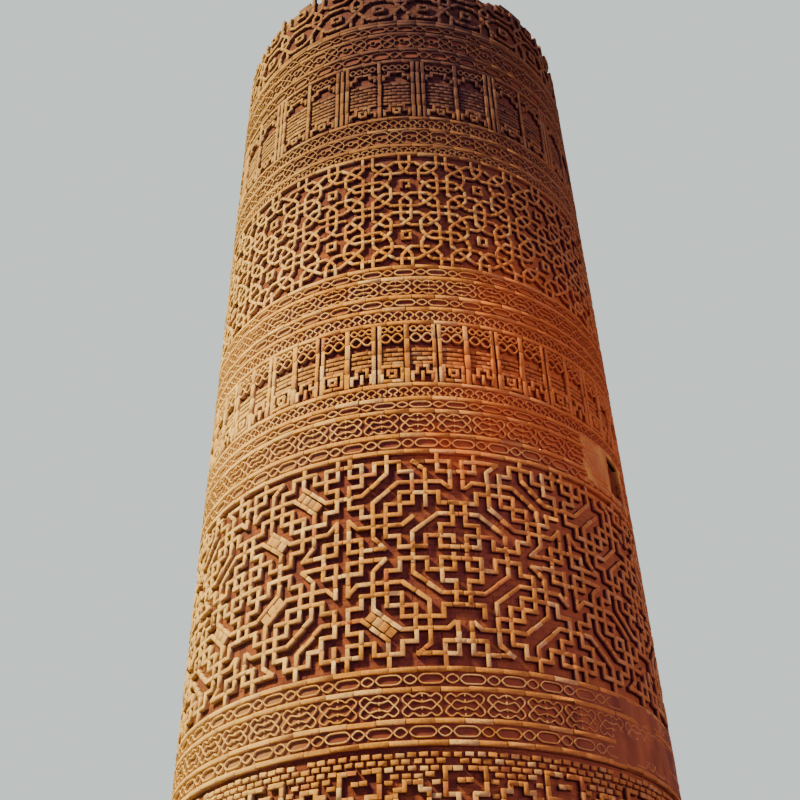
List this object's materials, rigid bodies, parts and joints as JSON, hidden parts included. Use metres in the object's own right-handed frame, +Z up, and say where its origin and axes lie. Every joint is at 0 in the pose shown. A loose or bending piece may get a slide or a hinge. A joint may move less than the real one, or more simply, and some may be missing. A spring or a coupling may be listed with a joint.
{
  "type": "brick minaret with a broken top",
  "caption": "Round tapering hollow brick tower with bands of relief brickwork between bordered courses, a doorway, a slit window and a broken rim.",
  "frame": {"origin": "centre of the foot, on the ground", "axes": "+Z up along the shaft, -Y towards the front that the picture shows, +X to its right"},
  "size_m": [5.094, 5.0641, 15.28],
  "materials": {
    "relief_brick": "matt buff fired brick laid proud in lime mortar, weathered",
    "ground_brick": "matt red-brown brick and mortar of the recessed ground",
    "plain_brick": "matt buff fired brick in plain bond with raked lime mortar joints"
  },
  "bodies": {
    "root": {"base_wall_front": "plain_brick", "base_wall_right": "plain_brick", "base_wall_left": "plain_brick", "base_wall_back_right": "plain_brick", "base_wall_back_left": "plain_brick", "doorway_arch": "plain_brick", "base_border": "relief_brick", "frieze_border": "relief_brick", "fret_border": "relief_brick", "lattice_border": "relief_brick", "upper_border": "relief_brick", "crown_border": "relief_brick", "frieze_band_front": "ground_brick", "frieze_band_right": "ground_brick", "frieze_band_back": "ground_brick", "frieze_band_left": "ground_brick", "fret_band_front": "ground_brick", "fret_band_right": "ground_brick", "fret_band_back": "ground_brick", "fret_band_left": "ground_brick", "lower_panel_band_front": "ground_brick", "lower_panel_band_right": "ground_brick", "lower_panel_band_back": "ground_brick", "lower_panel_band_left": "ground_brick", "lattice_band_front": "ground_brick", "lattice_band_right": "ground_brick", "lattice_band_back": "ground_brick", "lattice_band_left": "ground_brick", "upper_panel_band_front": "ground_brick", "upper_panel_band_right": "ground_brick", "upper_panel_band_back": "ground_brick", "upper_panel_band_left": "ground_brick", "crown_band_front": "ground_brick", "crown_band_right": "ground_brick", "crown_band_back": "ground_brick", "crown_band_left": "ground_brick"}
  },
  "joints": []
}
